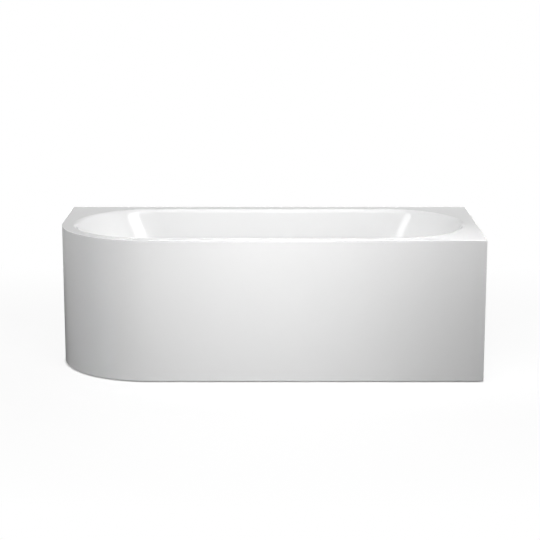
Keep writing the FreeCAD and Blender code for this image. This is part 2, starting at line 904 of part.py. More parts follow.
def make_overflow_body():
    mouth = -shell_wall - overflow_gasket_height
    back = cup_back()
    cavity_radius = overflow_cup_radius - overflow_cup_wall
    cavity_back = back + overflow_cup_wall
    flange = upright(overflow_flange_radius, 0, 0, mouth - overflow_flange_height, mouth)
    shell = overflow_place(joined(flange, upright(overflow_cup_radius, 0, 0, back, mouth)))
    cavity = overflow_place(upright(cavity_radius, 0, 0, cavity_back, mouth))
    gland_end = cable_gland_end()
    gland = rod(cable_gland_radius, gland_end, gland_end + V(0, 0, cable_gland_length))
    spout = rod(inlet_radius, spout_end(), pipe_top())
    web = box(-cable_offset, 0, -cable_gland_radius / 2, cable_gland_radius / 2, 0, cable_gland_length)
    web.translate(gland_end)
    body = joined(shell, spout, gland, web).cut(cavity)
    screw_back = face_height - face_screw_length
    boss_back = cavity_back - overflow_cup_wall / 2
    bosses = []
    screw_holes = []
    for x, y in face_screw_spots():
        bosses.append(overflow_place(upright(face_boss_radius, x, y, boss_back, mouth)))
        screw_holes.append(overflow_place(upright(face_screw_radius + screw_fit, x, y, screw_back, mouth)))
    body = joined(body, *bosses).cut(screw_holes)
    stop = spout_end() + V(0, 0, pipe_engagement)
    body = body.cut(rod(pipe_radius + pipe_fit, spout_end(), stop))
    body = body.cut(rod(pipe_radius - pipe_wall, spout_end(), pipe_top()))
    return body.cut(rod(cable_radius + cable_gland_fit, gland_end, gland_end + V(0, 0, cable_engagement)))


def make_overflow_face():
    plate = upright(face_radius, 0, 0, 0, face_height)
    cuts = [upright(spindle_radius + spindle_fit, 0, 0, 0, face_height)]
    for k in range(face_port_count):
        turn = math.radians(90 + face_port_step_angle * (k - (face_port_count - 1) / 2))
        x = face_port_circle * math.cos(turn)
        y = face_port_circle * math.sin(turn)
        cuts.append(upright(face_port_radius, x, y, 0, face_height))
    for x, y in face_screw_spots():
        cuts.append(upright(face_screw_radius + screw_fit, x, y, 0, face_height))
    return overflow_place(plate.cut(cuts))


def make_face_screws():
    screws = []
    for x, y in face_screw_spots():
        head = upright(face_screw_head_radius, x, y, face_height, face_height + face_screw_head_height)
        shank = upright(face_screw_radius, x, y, face_height - face_screw_length, face_height)
        screws.append(overflow_place(joined(head, shank)))
    return Part.makeCompound(screws)


def make_overflow_knob():
    under = face_height + knob_gap
    top = under + knob_height
    disc = upright(knob_radius, 0, 0, under, top)
    disc = disc.makeFillet(knob_edge_radius, level_edges(disc, top))
    half = knob_grip_width / 2
    reach = knob_radius * knob_grip_share
    grip = box(-half, half, -reach, reach, top - knob_edge_radius, top + knob_grip_height)
    grip = grip.makeFillet(knob_edge_radius, level_edges(grip, top + knob_grip_height))
    knob = joined(disc, grip)
    return overflow_place(knob.cut(upright(spindle_radius, 0, 0, under, under + knob_socket_depth)))


def make_overflow_spindle():
    front = face_height + knob_gap + knob_socket_depth
    drum_back = cup_back() + overflow_cup_wall + drum_back_gap
    shaft = upright(spindle_radius, 0, 0, drum_back, front)
    drum = upright(drum_radius, 0, 0, drum_back, drum_back + drum_height)
    return overflow_place(joined(shaft, drum))


def bent_path(points, radius):
    # Straight runs joined by tangent arcs at the inner points.
    edges = []
    last = points[0]
    for before, corner, after in zip(points, points[1:], points[2:]):
        into = (corner - before).normalize()
        out = (after - corner).normalize()
        turn = into.getAngle(out)
        inward = (out - into).normalize()
        start = corner - into * radius * math.tan(turn / 2)
        end = corner + out * radius * math.tan(turn / 2)
        middle = corner + inward * radius * (1 / math.cos(turn / 2) - 1)
        edges.append(Part.makeLine(last, start))
        edges.append(Part.Arc(start, middle, end).toShape())
        last = end
    edges.append(Part.makeLine(last, points[-1]))
    return Part.Wire(edges)


def swept(path, points, radius):
    circle = Part.Circle(points[0], points[1] - points[0], radius)
    return path.makePipeShell([Part.Wire(circle.toShape())], True, False)


def bent_rod(points, bend_radius, radius):
    return swept(bent_path(points, bend_radius), points, radius)


def bent_tube(points, bend_radius, outer, inner):
    return bent_rod(points, bend_radius, outer).cut(bent_rod(points, bend_radius, inner))


def make_overflow_pipe():
    start = spout_end() + V(0, 0, pipe_engagement)
    corner = V(0, start.y, inlet_z)
    end = V(0, inlet_end_y + pipe_engagement, inlet_z)
    return bent_tube([start, corner, end], pipe_bend_radius, pipe_radius, pipe_radius - pipe_wall)


def cable_points():
    start = cable_gland_end() + V(0, 0, cable_engagement)
    level = inlet_z + cable_rise
    corner = V(cable_offset, start.y, level)
    end = V(cable_offset, inlet_end_y + cable_engagement, level)
    return [start, corner, end]


def make_cable():
    return bent_rod(cable_points(), pipe_bend_radius, cable_radius)


def make_cable_clips():
    # Double rings that hold the cable beside the overflow pipe.
    axis = spout_end()
    top = axis.z - slip_nut_lip - slip_seal_height
    low = inlet_z + pipe_bend_radius
    clips = []
    for k in range(clip_count):
        z = top + (low - top) * (k + 1) / (clip_count + 1)
        pipe_eye = upright(pipe_radius + clip_wall, 0, axis.y, z, z + clip_height)
        cable_eye = upright(cable_radius + clip_wall, cable_offset, axis.y, z, z + clip_height)
        web = box(0, cable_offset, axis.y - clip_wall / 2, axis.y + clip_wall / 2, z, z + clip_height)
        clip = joined(pipe_eye, cable_eye, web)
        clip = clip.cut(upright(pipe_radius + clip_fit, 0, axis.y, z, z + clip_height))
        clips.append(clip.cut(upright(cable_radius + clip_fit, cable_offset, axis.y, z, z + clip_height)))
    return Part.makeCompound(clips)


def slip_nut(socket_end, outward, tube_radius):
    # Nut over the end of a socket with a lip around the tube inside it.
    socket_radius = tube_radius + pipe_fit + socket_wall
    across = 2 * (socket_radius + slip_nut_wall)
    back = socket_end - outward * slip_nut_grip
    lip_start = socket_end + outward * slip_seal_height
    front = lip_start + outward * slip_nut_lip
    nut = prism(slip_nut_side_count, across, back, front)
    nut = nut.cut(rod(socket_radius + slip_nut_fit, back, lip_start))
    return nut.cut(rod(tube_radius + slip_nut_fit, lip_start, front))


def slip_seal(socket_end, outward, tube_radius):
    return ring(
        tube_radius + pipe_fit + socket_wall,
        tube_radius,
        socket_end,
        socket_end + outward * slip_seal_height,
    )


def pipe_sockets():
    return ((spout_end(), V(0, 0, -1)), (V(0, inlet_end_y, inlet_z), V(0, -1, 0)))


def trap_low():
    return trap_floor_gap + drain_radius


def trap_socket_top():
    return trap_low() + trap_bend_radius + trap_socket_base + trap_socket_depth


def trap_rise_y():
    return waste_y + 2 * trap_bend_radius + trap_bottom_run


def trap_outlet_y():
    return trap_rise_y() + trap_bend_radius + trap_outlet_run


def trap_sockets():
    inlet = (V(0, waste_y, trap_socket_top()), V(0, 0, 1))
    outlet = (V(0, trap_outlet_y(), outlet_height), V(0, 1, 0))
    return (inlet, outlet)


def slip_joints():
    joints = [(end, out, pipe_radius) for end, out in pipe_sockets()]
    return joints + [(end, out, drain_radius) for end, out in trap_sockets()]


def make_slip_nuts():
    return Part.makeCompound([slip_nut(*joint) for joint in slip_joints()])


def make_slip_seals():
    return Part.makeCompound([slip_seal(*joint) for joint in slip_joints()])


def make_trap():
    points = [
        V(0, waste_y, trap_socket_top()),
        V(0, waste_y, trap_low()),
        V(0, trap_rise_y(), trap_low()),
        V(0, trap_rise_y(), outlet_height),
        V(0, trap_outlet_y(), outlet_height),
    ]
    solid = bent_rod(points, trap_bend_radius, drain_radius)
    sockets = []
    for end, out in trap_sockets():
        base = end - out * (trap_socket_depth + trap_socket_base)
        sockets.append(rod(drain_radius + pipe_fit + socket_wall, base, end))
    solid = joined(solid, *sockets)
    for end, out in trap_sockets():
        solid = solid.cut(rod(drain_radius + pipe_fit, end - out * trap_socket_depth, end))
    return solid.cut(bent_rod(points, trap_bend_radius, drain_radius - drain_wall))


def make_outlet_pipe():
    # Straight pipe with a stop bead behind the spigot that meets the house drain.
    start = V(0, trap_outlet_y() - trap_socket_depth, outlet_height)
    end = V(0, half_width - outlet_wall_gap, outlet_height)
    bead_end = end - V(0, outlet_spigot_length, 0)
    bead = rod(drain_radius + outlet_bead_height, bead_end - V(0, outlet_bead_width, 0), bead_end)
    pipe = joined(rod(drain_radius, start, end), bead)
    return pipe.cut(rod(drain_radius - drain_wall, start, end))


nodes = {
    "tub_shell": make_tub_shell(),
    "apron": make_apron(),
    "rim_bond_strip": make_bond_strip(),
    "base_board": make_base_board(),
    "base_board_screws": make_board_screws(),
    "long_rail_front": make_long_rail(-1),
    "long_rail_back": make_long_rail(1),
    "cross_rail_left": make_cross_rail(left_cross_x),
    "cross_rail_middle": make_cross_rail(middle_cross_x),
    "cross_rail_right": make_cross_rail(right_cross_x),
    "tube_end_caps": make_end_caps(),
    "rim_post_pads": make_post_pads(),
    "foot_weld_nuts": foot_nuts(weld_nut_across, cross_under, weld_nut_height),
    "foot_lock_nuts": foot_nuts(lock_nut_across, cross_under - weld_nut_height, lock_nut_height),
    "wall_bracket_left": make_post_bracket("left_back", half_width, fixing_hole_count),
    "wall_bracket_right": make_post_bracket("right_back", half_width, fixing_hole_count),
    "apron_bracket": make_post_bracket("right_front", apron_wall - half_width, 0),
    "bracket_bolts": make_bracket_bolts(),
    "bracket_nuts": make_bracket_nuts(),
    "apron_stay_front": make_front_stay(),
    "apron_stay_left": make_left_stay(),
    "apron_stay_screws": make_stay_screws(),
    "waste_flange": make_waste_flange(),
    "waste_top_gasket": make_waste_top_gasket(),
    "waste_low_gasket": make_waste_low_gasket(),
    "waste_body": make_waste_body(),
    "plug_cap": make_plug_cap(),
    "plug_seal": make_plug_seal(),
    "plug_stem": make_plug_stem(),
    "lift_rocker": make_lift_rocker(),
    "rocker_pin": rocker_pin(rocker_pin_radius),
    "overflow_body": make_overflow_body(),
    "overflow_gasket": make_overflow_gasket(),
    "overflow_face": make_overflow_face(),
    "overflow_face_screws": make_face_screws(),
    "overflow_knob": make_overflow_knob(),
    "overflow_spindle": make_overflow_spindle(),
    "overflow_pipe": make_overflow_pipe(),
    "plug_cable": make_cable(),
    "cable_clips": make_cable_clips(),
    "trap": make_trap(),
    "slip_nuts": make_slip_nuts(),
    "slip_seals": make_slip_seals(),
    "outlet_pipe": make_outlet_pipe(),
}
for post in posts:
    nodes["rim_post_" + post] = make_post(post)
for foot in feet:
    nodes["foot_stud_" + foot] = make_foot_stud(foot)
    nodes["foot_pad_" + foot] = make_foot_pad(foot)

os.makedirs("parts", exist_ok=True)
for name, shape in nodes.items():
    shape.exportStep("parts/" + name + ".step")
    print(name, len(shape.Solids), "solids", shape.isValid(), round(shape.Volume))
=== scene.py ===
import bmesh
import bpy
import json
import math
from collections import namedtuple
from mathutils import Matrix, Vector


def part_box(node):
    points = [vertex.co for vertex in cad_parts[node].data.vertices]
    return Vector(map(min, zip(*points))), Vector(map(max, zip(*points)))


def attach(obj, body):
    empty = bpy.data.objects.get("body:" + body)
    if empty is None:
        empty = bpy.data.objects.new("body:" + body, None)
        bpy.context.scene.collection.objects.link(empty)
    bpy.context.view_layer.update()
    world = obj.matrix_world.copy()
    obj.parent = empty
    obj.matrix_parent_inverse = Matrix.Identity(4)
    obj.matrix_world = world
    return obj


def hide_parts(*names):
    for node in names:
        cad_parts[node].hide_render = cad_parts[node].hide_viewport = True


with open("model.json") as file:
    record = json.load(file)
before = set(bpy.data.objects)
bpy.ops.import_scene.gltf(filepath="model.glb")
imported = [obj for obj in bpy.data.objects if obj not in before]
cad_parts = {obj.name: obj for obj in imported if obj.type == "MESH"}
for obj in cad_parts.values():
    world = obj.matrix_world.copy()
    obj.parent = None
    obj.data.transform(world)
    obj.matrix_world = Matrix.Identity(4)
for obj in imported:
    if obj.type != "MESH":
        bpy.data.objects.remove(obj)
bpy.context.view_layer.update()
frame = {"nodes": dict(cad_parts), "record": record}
scene = bpy.context.scene
nodes = frame["nodes"]


class Wire:  # a socket that can stand in a sum
    def __init__(self, tree, socket=None):
        self.tree = tree
        self.socket = socket

    def node(self, kind, settings=None, values=None, out=0):  # any node: settings first, then sockets
        made = self.tree.nodes.new(kind)
        for key, value in (settings or {}).items():
            setattr(made, key, value)
        for key, value in (values or {}).items():
            if isinstance(value, Wire):
                self.tree.links.new(value.socket, made.inputs[key])
            else:
                made.inputs[key].default_value = value
        return Wire(self.tree, made.outputs[out] if made.outputs else None)

    def math(self, operation, *others):
        terms = (self,) + others
        return self.node("ShaderNodeMath", {"operation": operation}, dict(enumerate(terms)))

    def swapped(self, operation, other):
        return self.node("ShaderNodeMath", {"operation": operation}, {0: other, 1: self})

    def vector(self, operation, other):
        return self.node("ShaderNodeVectorMath", {"operation": operation}, {0: self, 1: other})

    def times(self, amount):  # a vector made longer by a value
        return self.node("ShaderNodeVectorMath", {"operation": "SCALE"}, {0: self, "Scale": amount})

    def share(self):
        return self.node("ShaderNodeClamp", None, {"Value": self})

    def pick(self, yes, no):  # self is a test, 0 or 1
        return no + (yes - no) * self

    def __add__(self, other):
        return self.math("ADD", other)

    def __radd__(self, other):
        return self.swapped("ADD", other)

    def __sub__(self, other):
        return self.math("SUBTRACT", other)

    def __rsub__(self, other):
        return self.swapped("SUBTRACT", other)

    def __mul__(self, other):
        return self.math("MULTIPLY", other)

    def __rmul__(self, other):
        return self.swapped("MULTIPLY", other)

    def __truediv__(self, other):
        return self.math("DIVIDE", other)

    def __rtruediv__(self, other):
        return self.swapped("DIVIDE", other)

    def __lt__(self, other):
        return self.math("LESS_THAN", other)

    def __gt__(self, other):
        return self.math("GREATER_THAN", other)


# materials

def mixed(factor, first, second):  # two colours by a mask, through the mix node's colour sockets
    settings = {"data_type": "RGBA"}
    return factor.node("ShaderNodeMix", settings, {0: factor, 6: first, 7: second}, 2)


def noise(start, place, scale=1.0, detail=2):
    values = {"Vector": place, "Scale": scale, "Detail": detail}
    return start.node("ShaderNodeTexNoise", None, values, "Fac")


def stretched(start, place, lengths, turn=(0, 0, 0)):  # noise space turned, then drawn out
    values = {"Vector": place, "Scale": lengths, "Rotation": turn}
    return start.node("ShaderNodeMapping", {"vector_type": "TEXTURE"}, values)


def ramped(mask, low, high):  # 0 below low, 1 above high
    values = {"Value": mask, "From Min": low, "From Max": high}
    return mask.node("ShaderNodeMapRange", None, values)


def grey(level, tint=(1, 1, 1)):
    return (level * tint[0], level * tint[1], level * tint[2], 1)


def freshTree(owner):  # an empty shader tree to wire up
    owner.use_nodes = True
    owner.node_tree.nodes.clear()
    return Wire(owner.node_tree)


def material(name, look):  # look(start, place) gives the shader's sockets and an optional bump
    made = bpy.data.materials.new(name)
    start = freshTree(made)
    place = start.node("ShaderNodeTexCoord", None, None, "Object")
    sockets, bump = look(start, place)
    if bump:
        sockets["Normal"] = start.node("ShaderNodeBump", None, bump)
    shader = start.node("ShaderNodeBsdfPrincipled", None, sockets)
    start.node("ShaderNodeOutputMaterial", None, {"Surface": shader})
    return made


def glossAcrylic(start, place):
    cloud = noise(start, place, scale=3.5, detail=3)
    wipe = noise(start, stretched(start, place, lengths=(0.07, 0.017, 0.017)), detail=4)
    dull, clear = grey(0.80, tint=(0.996, 0.998, 1)), grey(0.82)
    rough = 0.035 + wipe * 0.03
    return {"Base Color": mixed(cloud, dull, clear), "Roughness": rough, "IOR": 1.49}, None


strandTurns = [(0.2, 0.5, 0.3), (1.1, 0.4, 1.2), (0.5, 1.2, 2.2), (2.1, 0.8, 0.9), (1.6, 2.0, 2.8)]


def glassFibre(start, place):  # sprayed resin and chopped strands on the dry side
    strands = None
    for turn in strandTurns:
        lay = stretched(start, place, lengths=(0.0026, 0.026, 0.026), turn=turn)
        line = ramped(noise(start, lay, detail=1), low=0.60, high=0.66)
        strands = line if strands is None else strands.math("MAXIMUM", line)
    blot = noise(start, place, scale=9, detail=4)
    thick, thin = grey(0.60, tint=(1, 0.96, 0.86)), grey(0.72, tint=(1, 0.98, 0.91))
    strand = grey(0.84, tint=(1, 0.99, 0.95))
    colour = mixed(strands * 0.7, mixed(blot, thick, thin), strand)
    height = strands * 0.5 + noise(start, place, scale=70, detail=4)
    bump = {"Strength": 0.6, "Distance": 0.0012, "Height": height}
    return {"Base Color": colour, "Roughness": 0.36 + blot * 0.2}, bump


def powderCoat(start, place):
    speck = noise(start, place, scale=900, detail=2)
    dust = noise(start, place, scale=14, detail=4)
    dark, pale = grey(0.30, tint=(0.98, 1, 1.02)), grey(0.36, tint=(0.99, 1, 1.02))
    bump = {"Strength": 0.25, "Distance": 0.0003, "Height": speck}
    return {"Base Color": mixed(dust, dark, pale), "Roughness": 0.48 + dust * 0.14}, bump


def zincPlate(start, place):
    bloom = noise(start, place, scale=60, detail=3)
    scuff = noise(start, stretched(start, place, lengths=(0.0033, 0.0033, 0.033)), detail=3)
    warm, cold = grey(0.56, tint=(1, 1, 0.98)), grey(0.68, tint=(0.97, 0.99, 1.03))
    colour, rough = mixed(bloom, warm, cold), 0.26 + scuff * 0.2
    bump = {"Strength": 0.15, "Distance": 0.0002, "Height": scuff}
    return {"Base Color": colour, "Metallic": 1.0, "Roughness": rough}, bump


veneer = {"thickness": 0.0017, "glueShare": 0.08}


def birchPly(start, place):  # every second veneer shows its end grain
    height = start.node("ShaderNodeSeparateXYZ", None, {0: place}, 2)
    layer = (height * (1 / veneer["thickness"])).math("FRACT")
    cross = (height * (0.5 / veneer["thickness"])).math("FRACT") > 0.5
    along = noise(start, stretched(start, place, lengths=(0.17, 0.004, 0.004)), detail=5)
    grain = ramped(along, low=0.35, high=0.7)
    early, late = grey(0.58, tint=(1, 0.80, 0.56)), grey(0.45, tint=(1, 0.74, 0.47))
    endGrain, glue = grey(0.30, tint=(1, 0.68, 0.42)), grey(0.16, tint=(1, 0.65, 0.4))
    colour = mixed(cross * 0.45, mixed(grain, early, late), endGrain)
    colour = mixed((layer < veneer["glueShare"]) * 0.5, colour, glue)
    bump = {"Strength": 0.3, "Distance": 0.0005, "Height": along}
    return {"Base Color": colour, "Roughness": 0.62 + grain * 0.12}, bump


def matPlastic(level, tint, rough):
    def look(start, place):
        speck = noise(start, place, scale=520, detail=2)
        haze = noise(start, place, scale=22, detail=3)
        colour = mixed(haze, grey(level, tint), grey(level * 1.18, tint))
        bump = {"Strength": 0.2, "Distance": 0.0002, "Height": speck}
        return {"Base Color": colour, "Roughness": rough + haze * 0.1}, bump
    return look


def chromePlate(start, place):
    smear = noise(start, place, scale=35, detail=4)
    colour = mixed(smear, grey(0.82, tint=(0.99, 1, 1.01)), grey(0.88))
    return {"Base Color": colour, "Metallic": 1.0, "Roughness": 0.05 + smear * 0.06}, None


def turnedBrass(start, place):
    tool = noise(start, stretched(start, place, lengths=(0.025, 0.025, 0.0011)), detail=2)
    dark, pale = grey(0.62, tint=(1, 0.76, 0.40)), grey(0.72, tint=(1, 0.80, 0.46))
    colour, rough = mixed(tool, dark, pale), 0.24 + tool * 0.14
    bump = {"Strength": 0.1, "Distance": 0.0001, "Height": tool}
    return {"Base Color": colour, "Metallic": 1.0, "Roughness": rough}, bump


finishes = {  # a plastic has its level, tint and roughness
    "white_acrylic": material("gloss acrylic", glossAcrylic),
    "glass_fibre": material("glass fibre", glassFibre),
    "grey_paint": material("powder coat", powderCoat),
    "zinc_steel": material("zinc plate", zincPlate),
    "plywood": material("birch ply", birchPly),
    "black_plastic": material("black plastic", matPlastic(0.030, (1, 1, 1.03), 0.42)),
    "black_rubber": material("black rubber", matPlastic(0.020, (1, 1, 1), 0.68)),
    "chrome": material("chrome plate", chromePlate),
    "brass": material("turned brass", turnedBrass),
    "white_pipe": material("white pipe", matPlastic(0.70, (1, 1, 0.98), 0.30)),
    "grey_nut": material("grey nut", matPlastic(0.16, (0.98, 1, 1.03), 0.40)),
    "cable_sheath": material("cable sheath", matPlastic(0.055, (1, 1, 1.04), 0.46)),
    "bond_tape": material("bond tape", matPlastic(0.22, (1, 1, 1), 0.75)),
}
print("materials:", len(finishes))
slotOf = {part["node"]: part["material_slot"] for part in frame["record"]["subparts"]}


# geometry trees

closeBy = 0.00001  # vertices nearer than this are one
slack = 0.001  # keeps a whole quotient from falling short


def geometryTree(name, inputs):
    tree = bpy.data.node_groups.new(name, "GeometryNodeTree")
    tree.interface.new_socket("Form", in_out="OUTPUT", socket_type="NodeSocketGeometry")
    tree.interface.new_socket("Guide", in_out="INPUT", socket_type="NodeSocketGeometry")
    for title, kind in inputs.items():
        tree.interface.new_socket(title, in_out="INPUT", socket_type="NodeSocket" + kind)
    entry = tree.nodes.new("NodeGroupInput")
    return tree, {socket.name: Wire(tree, socket) for socket in entry.outputs if socket.name}


def closeTree(form, finish):  # every tree ends in real faces with a finish
    form = form.node("GeometryNodeRealizeInstances", None, {"Geometry": form})
    form = form.node("GeometryNodeSetMaterial", None, {"Geometry": form, "Material": finish})
    form.node("NodeGroupOutput", None, {0: form})


def closeGrid(grid, spot, finish):  # the grid's vertices go to their places and its seams close
    form = grid.node("GeometryNodeSetPosition", None, {"Geometry": grid, "Position": spot})
    values = {"Geometry": form, "Distance": closeBy}
    closeTree(form.node("GeometryNodeMergeByDistance", None, values), finish)


def sampled(shape, title, kind, at):  # a named attribute of another shape, read at one of its points
    field = shape.node("GeometryNodeInputNamedAttribute", {"data_type": kind}, {"Name": title})
    values = {"Geometry": shape, "Value": field, "Index": at}
    return shape.node("GeometryNodeSampleIndex", {"data_type": kind, "domain": "POINT"}, values)


def unitGrid(start, columns, rows):
    sizes = {"Size X": 1.0, "Size Y": 1.0, "Vertices X": columns, "Vertices Y": rows}
    return start.node("GeometryNodeMeshGrid", None, sizes)


def gridPlaces(start, columns, rows):  # a flat grid with each vertex's column and row
    grid = unitGrid(start, columns, rows)
    index = start.node("GeometryNodeInputIndex")
    column = (index / rows + slack).math("FLOOR")
    return grid, column, index - column * rows


def placed(name, data):  # a new object in the scene
    item = bpy.data.objects.new(name, data)
    scene.collection.objects.link(item)
    return item


def settled(item):  # the plain mesh that an object's modifiers leave
    bpy.context.view_layer.update()
    ready = item.evaluated_get(bpy.context.evaluated_depsgraph_get())
    return bpy.data.meshes.new_from_object(ready)


def grown(tree, guide, values):  # runs a tree on a guide mesh and keeps the result as a plain mesh
    holder = placed("holder", guide)
    growth = holder.modifiers.new("growth", "NODES")
    growth.node_group = tree
    for item in tree.interface.items_tree:
        if item.in_out == "INPUT" and item.name in values:
            growth[item.identifier] = values[item.name]
    mesh = settled(holder)
    if len(mesh.materials) > 1 and mesh.materials[0] is None:
        mesh.materials.pop(index=0)  # empty slot that the tree leaves
    holder.modifiers.clear()
    bpy.data.objects.remove(holder)
    return mesh


def facedOut(mesh):
    shape = bmesh.new()
    shape.from_mesh(mesh)
    bmesh.ops.recalc_face_normals(shape, faces=shape.faces)
    shape.to_mesh(mesh)
    shape.free()
    return mesh


def pieceFrom(mesh, name, body, replaced=(), crease=40):  # a finished piece at the origin
    mesh.name = name
    mesh.shade_smooth()
    mesh.set_sharp_from_angle(angle=math.radians(crease))
    piece = placed(name, mesh)
    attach(piece, body)
    if replaced:
        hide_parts(*replaced)
    print("piece:", name, len(mesh.polygons), "faces")


def pointMesh(name, points, numbers=None, vectors=None):  # guide points with named attributes
    mesh = bpy.data.meshes.new(name)
    mesh.from_pydata([tuple(point) for point in points], [], [])
    for title, values in (numbers or {}).items():
        mesh.attributes.new(title, "FLOAT", "POINT").data.foreach_set("value", values)
    for title, values in (vectors or {}).items():
        flat = [part for value in values for part in value]
        mesh.attributes.new(title, "FLOAT_VECTOR", "POINT").data.foreach_set("vector", flat)
    return mesh


def profileMesh(profile, titles):  # one guide point per row, its numbers under these titles
    numbers = {title: [row[k] for row in profile] for k, title in enumerate(titles)}
    return pointMesh("profile", [(0, 0, 0)] * len(profile), numbers)


bath = {
    "length": 1.700, "width": 0.750, "height": 0.573,
    "roundCorner": 0.375, "roundSteps": 96, "squareCorner": 0.006, "squareSteps": 8,
    "shellWall": 0.006, "apronTop": 0.565,
}
bathX = bath["length"] / 2
bathY = bath["width"] / 2


# the rim and the apron follow the same footprint: a path with mitred corners

Column = namedtuple("Column", "corner outward diagonal radius side")


def footprint(extras=()):  # columns from the back left corner round, extras at points along a side
    sides = [Vector((-1, 0, 0)), Vector((0, -1, 0)), Vector((1, 0, 0)), Vector((0, 1, 0))]
    square = (bath["squareCorner"], bath["squareSteps"])
    rounded = (bath["roundCorner"], bath["roundSteps"])
    corners = [
        (Vector((-bathX, bathY, 0)), square), (Vector((-bathX, -bathY, 0)), rounded),
        (Vector((bathX, -bathY, 0)), square), (Vector((bathX, bathY, 0)), square),
    ]
    columns = []
    for k, (corner, (radius, steps)) in enumerate(corners):
        before, after = sides[k - 1], sides[k]
        for step in range(steps + 1):
            turn = math.pi / 2 * step / steps
            outward = before * math.cos(turn) + after * math.sin(turn)
            columns.append(Column(corner, outward, before + after, radius, k))
        for side, point in extras:
            if side == k:
                columns.append(Column(Vector(point), after, after, 0.0, k))
    return columns


def sweepTree():  # a profile of insets and heights carried round the footprint
    tree, wire = geometryTree("mitredSweep", {
        "Profile": "Object", "Columns": "Int", "Rows": "Int", "Drop": "Float", "Finish": "Material"})
    start = Wire(tree)
    grid, column, row = gridPlaces(start, wire["Columns"], wire["Rows"])
    section = start.node("GeometryNodeObjectInfo", None, {"Object": wire["Profile"]}, "Geometry")
    corner = sampled(wire["Guide"], "position", "FLOAT_VECTOR", column)
    outward = sampled(wire["Guide"], "outward", "FLOAT_VECTOR", column)
    diagonal = sampled(wire["Guide"], "diagonal", "FLOAT_VECTOR", column)
    radius = sampled(wire["Guide"], "radius", "FLOAT", column)
    lowered = sampled(wire["Guide"], "lowered", "FLOAT", column)
    inset = sampled(section, "inset", "FLOAT", row)
    height = sampled(section, "height", "FLOAT", row)
    lowers = sampled(section, "lowers", "FLOAT", row)
    left = (radius - inset).math("MAXIMUM", 0.0)  # what the inset leaves of the corner's radius
    place = corner.vector("SUBTRACT", diagonal.times(inset + left))
    place = place.vector("ADD", outward.times(left))
    level = height - wire["Drop"] * lowered * lowers
    rise = start.node("ShaderNodeCombineXYZ", None, {2: level})
    closeGrid(grid, place.vector("ADD", rise), wire["Finish"])
    return tree


sweep = sweepTree()


def swept(columns, profile, finish, drop=0.0, lowered=None):
    radii = [column.radius for column in columns]
    guide = pointMesh(
        "guide", [column.corner for column in columns],
        {"radius": radii, "lowered": lowered or [0.0] * len(columns)},
        {"outward": [column.outward for column in columns],
         "diagonal": [column.diagonal for column in columns]})
    section = placed("section", profileMesh(profile, ("inset", "height", "lowers")))
    values = {"Profile": section, "Columns": len(columns), "Rows": len(profile)}
    mesh = grown(sweep, guide, dict(values, Drop=drop, Finish=finish))
    bpy.data.objects.remove(section)
    return mesh


def quarter(centre, radius, first, last, steps):  # arc points in a profile, degrees
    turns = [math.radians(first + (last - first) * k / steps) for k in range(steps + 1)]
    x, y = centre
    return [(x + radius * math.cos(turn), y + radius * math.sin(turn), 0.0) for turn in turns]


# bowl: level stadium sections whose inset follows the roll, the leaning wall and the foot curve

bowl = {
    "Half Length": 0.806, "Half Width": 0.326, "Height": bath["height"], "Depth": 0.400,
    "Roll Radius": 0.018, "Backrest Lean": math.radians(28), "Side Lean": math.radians(7),
    "Backrest Foot": 0.150, "Side Foot": 0.090,
}
bowlRows = {"roll": 9, "wall": 10, "foot": 18, "floor": 6}
bowlColumns = {"arc": 72, "straight": 24}
deckMargin = 0.002  # flat strip that keeps the deck's shading level


